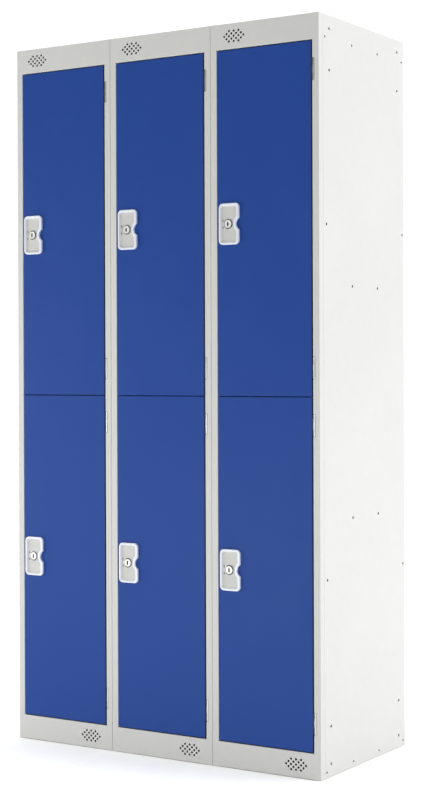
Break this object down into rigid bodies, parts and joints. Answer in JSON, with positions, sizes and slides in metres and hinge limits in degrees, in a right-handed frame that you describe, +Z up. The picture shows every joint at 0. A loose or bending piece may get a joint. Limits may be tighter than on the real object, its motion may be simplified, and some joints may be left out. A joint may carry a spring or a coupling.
{
  "type": "school locker",
  "caption": "Nest of two-tier steel school lockers side by side, with flush hinged doors, cam locks in plastic escutcheons, vented rails, shelves and coat hooks.",
  "frame": {"origin": "bottom centre of the whole object's box, on the floor", "axes": "+Z up, the doors face -Y, +X to the right as seen from the front"},
  "size_m": [0.9, 0.456, 1.8],
  "materials": {
    "frame_paint": "light grey powder coat, fine orange peel, satin",
    "door_paint": "blue powder coat, satin",
    "silver_plastic": "silver-grey moulded plastic, fine texture",
    "lock_chrome": "nickel-plated zinc, worn at the key slot",
    "zinc_steel": "bright zinc plate",
    "buffer_rubber": "matte black"
  },
  "bodies": {
    "root": {"left_side_panel_1": "frame_paint", "right_side_panel_1": "frame_paint", "left_side_panel_2": "frame_paint", "right_side_panel_2": "frame_paint", "left_side_panel_3": "frame_paint", "right_side_panel_3": "frame_paint", "lock_stiles": "frame_paint", "hinge_stiles": "frame_paint", "back_panels": "frame_paint", "top_trays": "frame_paint", "floor_trays": "frame_paint", "shelves": "frame_paint", "frame_hinge_leaves": "zinc_steel", "hinge_pins": "zinc_steel", "tray_rivets": "zinc_steel", "nest_bolts": "zinc_steel", "door_buffers": "buffer_rubber", "coat_hooks": "zinc_steel"},
    "lower_door_1": {"lower_door_1_pan": "door_paint", "lower_door_1_stiffener": "door_paint", "lower_door_1_hinge_leaves": "zinc_steel", "lower_door_1_escutcheon": "silver_plastic", "lower_door_1_lock_barrel": "lock_chrome"},
    "lower_lock_1": {"lower_door_1_lock_plug": "lock_chrome", "lower_door_1_lock_cam": "zinc_steel"},
    "lower_door_2": {"lower_door_2_pan": "door_paint", "lower_door_2_stiffener": "door_paint", "lower_door_2_hinge_leaves": "zinc_steel", "lower_door_2_escutcheon": "silver_plastic", "lower_door_2_lock_barrel": "lock_chrome"},
    "lower_lock_2": {"lower_door_2_lock_plug": "lock_chrome", "lower_door_2_lock_cam": "zinc_steel"},
    "lower_door_3": {"lower_door_3_pan": "door_paint", "lower_door_3_stiffener": "door_paint", "lower_door_3_hinge_leaves": "zinc_steel", "lower_door_3_escutcheon": "silver_plastic", "lower_door_3_lock_barrel": "lock_chrome"},
    "lower_lock_3": {"lower_door_3_lock_plug": "lock_chrome", "lower_door_3_lock_cam": "zinc_steel"},
    "upper_door_1": {"upper_door_1_pan": "door_paint", "upper_door_1_stiffener": "door_paint", "upper_door_1_hinge_leaves": "zinc_steel", "upper_door_1_escutcheon": "silver_plastic", "upper_door_1_lock_barrel": "lock_chrome"},
    "upper_lock_1": {"upper_door_1_lock_plug": "lock_chrome", "upper_door_1_lock_cam": "zinc_steel"},
    "upper_door_2": {"upper_door_2_pan": "door_paint", "upper_door_2_stiffener": "door_paint", "upper_door_2_hinge_leaves": "zinc_steel", "upper_door_2_escutcheon": "silver_plastic", "upper_door_2_lock_barrel": "lock_chrome"},
    "upper_lock_2": {"upper_door_2_lock_plug": "lock_chrome", "upper_door_2_lock_cam": "zinc_steel"},
    "upper_door_3": {"upper_door_3_pan": "door_paint", "upper_door_3_stiffener": "door_paint", "upper_door_3_hinge_leaves": "zinc_steel", "upper_door_3_escutcheon": "silver_plastic", "upper_door_3_lock_barrel": "lock_chrome"},
    "upper_lock_3": {"upper_door_3_lock_plug": "lock_chrome", "upper_door_3_lock_cam": "zinc_steel"}
  },
  "joints": [
    {"name": "lower_door_1_hinge", "type": "hinge", "parent": "root", "child": "lower_door_1", "pos_m": [-0.165, -0.2194, 0.48185], "axis": [0, 0, 1], "range_deg": [0, 110]},
    {"name": "lower_lock_1_turn", "type": "hinge", "parent": "lower_door_1", "child": "lower_lock_1", "pos_m": [-0.3985, -0.222, 0.47985], "axis": [0, 1, 0], "range_deg": [0, 90]},
    {"name": "lower_door_2_hinge", "type": "hinge", "parent": "root", "child": "lower_door_2", "pos_m": [0.135, -0.2194, 0.48185], "axis": [0, 0, 1], "range_deg": [0, 110]},
    {"name": "lower_lock_2_turn", "type": "hinge", "parent": "lower_door_2", "child": "lower_lock_2", "pos_m": [-0.0985, -0.222, 0.47985], "axis": [0, 1, 0], "range_deg": [0, 90]},
    {"name": "lower_door_3_hinge", "type": "hinge", "parent": "root", "child": "lower_door_3", "pos_m": [0.435, -0.2194, 0.48185], "axis": [0, 0, 1], "range_deg": [0, 110]},
    {"name": "lower_lock_3_turn", "type": "hinge", "parent": "lower_door_3", "child": "lower_lock_3", "pos_m": [0.2015, -0.222, 0.47985], "axis": [0, 1, 0], "range_deg": [0, 90]},
    {"name": "upper_door_1_hinge", "type": "hinge", "parent": "root", "child": "upper_door_1", "pos_m": [-0.165, -0.2194, 1.31815], "axis": [0, 0, 1], "range_deg": [0, 110]},
    {"name": "upper_lock_1_turn", "type": "hinge", "parent": "upper_door_1", "child": "upper_lock_1", "pos_m": [-0.3985, -0.222, 1.31615], "axis": [0, 1, 0], "range_deg": [0, 90]},
    {"name": "upper_door_2_hinge", "type": "hinge", "parent": "root", "child": "upper_door_2", "pos_m": [0.135, -0.2194, 1.31815], "axis": [0, 0, 1], "range_deg": [0, 110]},
    {"name": "upper_lock_2_turn", "type": "hinge", "parent": "upper_door_2", "child": "upper_lock_2", "pos_m": [-0.0985, -0.222, 1.31615], "axis": [0, 1, 0], "range_deg": [0, 90]},
    {"name": "upper_door_3_hinge", "type": "hinge", "parent": "root", "child": "upper_door_3", "pos_m": [0.435, -0.2194, 1.31815], "axis": [0, 0, 1], "range_deg": [0, 110]},
    {"name": "upper_lock_3_turn", "type": "hinge", "parent": "upper_door_3", "child": "upper_lock_3", "pos_m": [0.2015, -0.222, 1.31615], "axis": [0, 1, 0], "range_deg": [0, 90]}
  ]
}
